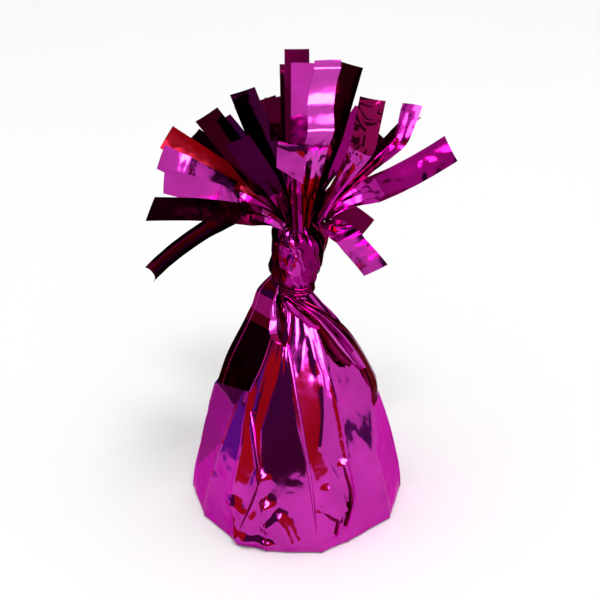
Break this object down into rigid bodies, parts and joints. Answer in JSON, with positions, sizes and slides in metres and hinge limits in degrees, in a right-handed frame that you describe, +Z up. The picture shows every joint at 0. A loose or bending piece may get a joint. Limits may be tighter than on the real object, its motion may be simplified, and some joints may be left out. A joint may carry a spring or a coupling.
{
  "type": "balloon weight",
  "caption": "Foil-wrapped cone weight that anchors balloon ribbons: a filled cup wrapped in shiny film, tied at the neck, with a burst of slit film strips on top.",
  "frame": {"origin": "centre of the resting face, under the base disc", "axes": "+Z up along the cone's axis; the pictured side looks towards -Y, +X is to its right"},
  "size_m": [0.0818, 0.0783, 0.1288],
  "materials": {
    "film": "mirror-like metallised film, magenta",
    "tie": "plain film band, twisted tight",
    "cup": "plain moulded plastic",
    "ballast": "cast cement",
    "disc": "plain card"
  },
  "bodies": {
    "weight": {"ballast": "ballast", "base_disc": "disc", "weight_cup": "cup", "foil_wrap": "film", "neck_tie": "tie", "foil_neck": "film"},
    "strip_01": {"fringe_strip_01": "film"},
    "strip_02": {"fringe_strip_02": "film"},
    "strip_03": {"fringe_strip_03": "film"},
    "strip_04": {"fringe_strip_04": "film"},
    "strip_05": {"fringe_strip_05": "film"},
    "strip_06": {"fringe_strip_06": "film"},
    "strip_07": {"fringe_strip_07": "film"},
    "strip_08": {"fringe_strip_08": "film"},
    "strip_09": {"fringe_strip_09": "film"},
    "strip_10": {"fringe_strip_10": "film"},
    "strip_11": {"fringe_strip_11": "film"},
    "strip_12": {"fringe_strip_12": "film"},
    "strip_13": {"fringe_strip_13": "film"},
    "strip_14": {"fringe_strip_14": "film"},
    "strip_15": {"fringe_strip_15": "film"},
    "strip_16": {"fringe_strip_16": "film"},
    "strip_17": {"fringe_strip_17": "film"},
    "strip_18": {"fringe_strip_18": "film"},
    "strip_19": {"fringe_strip_19": "film"},
    "strip_20": {"fringe_strip_20": "film"},
    "strip_21": {"fringe_strip_21": "film"},
    "strip_22": {"fringe_strip_22": "film"},
    "strip_23": {"fringe_strip_23": "film"},
    "strip_24": {"fringe_strip_24": "film"},
    "strip_25": {"fringe_strip_25": "film"},
    "strip_26": {"fringe_strip_26": "film"},
    "strip_27": {"fringe_strip_27": "film"},
    "strip_28": {"fringe_strip_28": "film"},
    "strip_29": {"fringe_strip_29": "film"},
    "strip_30": {"fringe_strip_30": "film"}
  },
  "joints": [
    {"name": "strip_01_flex", "type": "hinge", "parent": "weight", "child": "strip_01", "pos_m": [-0.00377, -0.00501, 0.08357], "axis": [0.1442, -0.879, -0.4545], "range_deg": [-20, 4], "stiffness_Nm_per_rad": 0.0005},
    {"name": "strip_02_flex", "type": "hinge", "parent": "weight", "child": "strip_02", "pos_m": [-0.00497, -0.00348, 0.08362], "axis": [-0.2708, -0.8059, -0.5265], "range_deg": [-4, 3], "stiffness_Nm_per_rad": 0.0005},
    {"name": "strip_03_flex", "type": "hinge", "parent": "weight", "child": "strip_03", "pos_m": [-0.00571, -0.00186, 0.0836], "axis": [-0.4956, -0.7125, -0.4967], "range_deg": [-3, 3], "stiffness_Nm_per_rad": 0.0005},
    {"name": "strip_04_flex", "type": "hinge", "parent": "weight", "child": "strip_04", "pos_m": [-0.00499, -0.00052, 0.08357], "axis": [-0.7184, -0.5277, -0.4532], "range_deg": [-3, 25], "stiffness_Nm_per_rad": 0.0005},
    {"name": "strip_05_flex", "type": "hinge", "parent": "weight", "child": "strip_05", "pos_m": [-0.006, 0.00095, 0.08379], "axis": [-0.4225, -0.399, -0.8138], "range_deg": [-30, 20], "stiffness_Nm_per_rad": 0.0005},
    {"name": "strip_06_flex", "type": "hinge", "parent": "weight", "child": "strip_06", "pos_m": [-0.00288, -0.00242, 0.08352], "axis": [0.9234, 0.1278, 0.3618], "range_deg": [-5, 7], "stiffness_Nm_per_rad": 0.0005},
    {"name": "strip_07_flex", "type": "hinge", "parent": "weight", "child": "strip_07", "pos_m": [-0.00236, -0.0035, 0.08346], "axis": [0.9643, 0.0377, 0.262], "range_deg": [-7, 3], "stiffness_Nm_per_rad": 0.0005},
    {"name": "strip_08_flex", "type": "hinge", "parent": "weight", "child": "strip_08", "pos_m": [-0.00076, -0.00616, 0.0833], "axis": [0.9511, -0.309, 0], "range_deg": [-4, 30], "stiffness_Nm_per_rad": 0.0005},
    {"name": "strip_09_flex", "type": "hinge", "parent": "weight", "child": "strip_09", "pos_m": [-0.00192, -0.00102, 0.08342], "axis": [0.9804, 0.0272, 0.1954], "range_deg": [-20, 5], "stiffness_Nm_per_rad": 0.0005},
    {"name": "strip_10_flex", "type": "hinge", "parent": "weight", "child": "strip_10", "pos_m": [-0.00514, 0.00208, 0.0836], "axis": [-0.8268, -0.2639, -0.4967], "range_deg": [-20, 2], "stiffness_Nm_per_rad": 0.0005},
    {"name": "strip_11_flex", "type": "hinge", "parent": "weight", "child": "strip_11", "pos_m": [-0.0034, 0.00378, 0.08347], "axis": [-0.9241, -0.2562, -0.2835], "range_deg": [-2, 12], "stiffness_Nm_per_rad": 0.0005},
    {"name": "strip_12_flex", "type": "hinge", "parent": "weight", "child": "strip_12", "pos_m": [-0.00292, 0.00168, 0.08346], "axis": [-0.9616, -0.0393, -0.2717], "range_deg": [-4, 3], "stiffness_Nm_per_rad": 0.0005},
    {"name": "strip_13_flex", "type": "hinge", "parent": "weight", "child": "strip_13", "pos_m": [-0.00127, 0.00444, 0.08341], "axis": [-0.9816, -0.0421, -0.1862], "range_deg": [-5, 12], "stiffness_Nm_per_rad": 0.0005},
    {"name": "strip_14_flex", "type": "hinge", "parent": "weight", "child": "strip_14", "pos_m": [-0.00028, 0.00269, 0.08337], "axis": [-0.9921, -0.0573, -0.1116], "range_deg": [-3, 4], "stiffness_Nm_per_rad": 0.0005},
    {"name": "strip_15_flex", "type": "hinge", "parent": "weight", "child": "strip_15", "pos_m": [-0.00121, 0.00102, 0.0833], "axis": [-0.9994, -0.0349, 0], "range_deg": [-7, 3], "stiffness_Nm_per_rad": 0.0005},
    {"name": "strip_16_flex", "type": "hinge", "parent": "weight", "child": "strip_16", "pos_m": [-0.00041, -0.00021, 0.0833], "axis": [-0.9998, -0.0175, 0], "range_deg": [-12, 7], "stiffness_Nm_per_rad": 0.0005},
    {"name": "strip_17_flex", "type": "hinge", "parent": "weight", "child": "strip_17", "pos_m": [0.00069, -0.00171, 0.0833], "axis": [-0.9976, 0.0698, 0], "range_deg": [-5, 14], "stiffness_Nm_per_rad": 0.0005},
    {"name": "strip_18_flex", "type": "hinge", "parent": "weight", "child": "strip_18", "pos_m": [0.00088, -0.00352, 0.08336], "axis": [-0.994, 0.0353, 0.104], "range_deg": [-6, 5], "stiffness_Nm_per_rad": 0.0005},
    {"name": "strip_19_flex", "type": "hinge", "parent": "weight", "child": "strip_19", "pos_m": [0.00209, 0.00098, 0.08342], "axis": [-0.9754, 0.096, 0.1984], "range_deg": [-11, 12], "stiffness_Nm_per_rad": 0.0005},
    {"name": "strip_20_flex", "type": "hinge", "parent": "weight", "child": "strip_20", "pos_m": [0.00423, -0.00216, 0.08352], "axis": [0.9281, -0.0804, -0.3635], "range_deg": [-8, 10], "stiffness_Nm_per_rad": 0.0005},
    {"name": "strip_21_flex", "type": "hinge", "parent": "weight", "child": "strip_21", "pos_m": [0.0025, -0.00086, 0.08342], "axis": [-0.635, 0.7466, 0.1984], "range_deg": [-10, 6], "stiffness_Nm_per_rad": 0.0005},
    {"name": "strip_22_flex", "type": "hinge", "parent": "weight", "child": "strip_22", "pos_m": [0.00378, -0.0006, 0.08356], "axis": [-0.7652, 0.4791, 0.4301], "range_deg": [-6, 8], "stiffness_Nm_per_rad": 0.0005},
    {"name": "strip_23_flex", "type": "hinge", "parent": "weight", "child": "strip_23", "pos_m": [0.00398, 0.00177, 0.08356], "axis": [-0.8264, 0.365, 0.4287], "range_deg": [-12, 8], "stiffness_Nm_per_rad": 0.0005},
    {"name": "strip_24_flex", "type": "hinge", "parent": "weight", "child": "strip_24", "pos_m": [0.00593, 0.00031, 0.08357], "axis": [-0.6794, 0.5777, 0.4524], "range_deg": [-8, 25], "stiffness_Nm_per_rad": 0.0005},
    {"name": "strip_25_flex", "type": "hinge", "parent": "weight", "child": "strip_25", "pos_m": [0.00422, 0.00408, 0.08386], "axis": [-0.0251, 0.359, -0.933], "range_deg": [-25, 30], "stiffness_Nm_per_rad": 0.0005},
    {"name": "strip_26_flex", "type": "hinge", "parent": "weight", "child": "strip_26", "pos_m": [0.00569, -0.0023, 0.08343], "axis": [0.7718, 0.595, 0.2241], "range_deg": [-20, 25], "stiffness_Nm_per_rad": 0.0005},
    {"name": "strip_27_flex", "type": "hinge", "parent": "weight", "child": "strip_27", "pos_m": [0.00213, 0.00341, 0.0833], "axis": [-0.9135, 0.4067, 0], "range_deg": [-15, 6], "stiffness_Nm_per_rad": 0.0005},
    {"name": "strip_28_flex", "type": "hinge", "parent": "weight", "child": "strip_28", "pos_m": [0.00236, 0.00531, 0.0833], "axis": [-0.9511, 0.309, 0], "range_deg": [-6, 25], "stiffness_Nm_per_rad": 0.0005},
    {"name": "strip_29_flex", "type": "hinge", "parent": "weight", "child": "strip_29", "pos_m": [0.0002, 0.00587, 0.0833], "axis": [-0.9994, -0.0349, 0], "range_deg": [-15, 20], "stiffness_Nm_per_rad": 0.0005},
    {"name": "strip_30_flex", "type": "hinge", "parent": "weight", "child": "strip_30", "pos_m": [-0.00269, 0.00552, 0.0834], "axis": [-0.8271, -0.5347, 0.173], "range_deg": [-20, 15], "stiffness_Nm_per_rad": 0.0005}
  ]
}
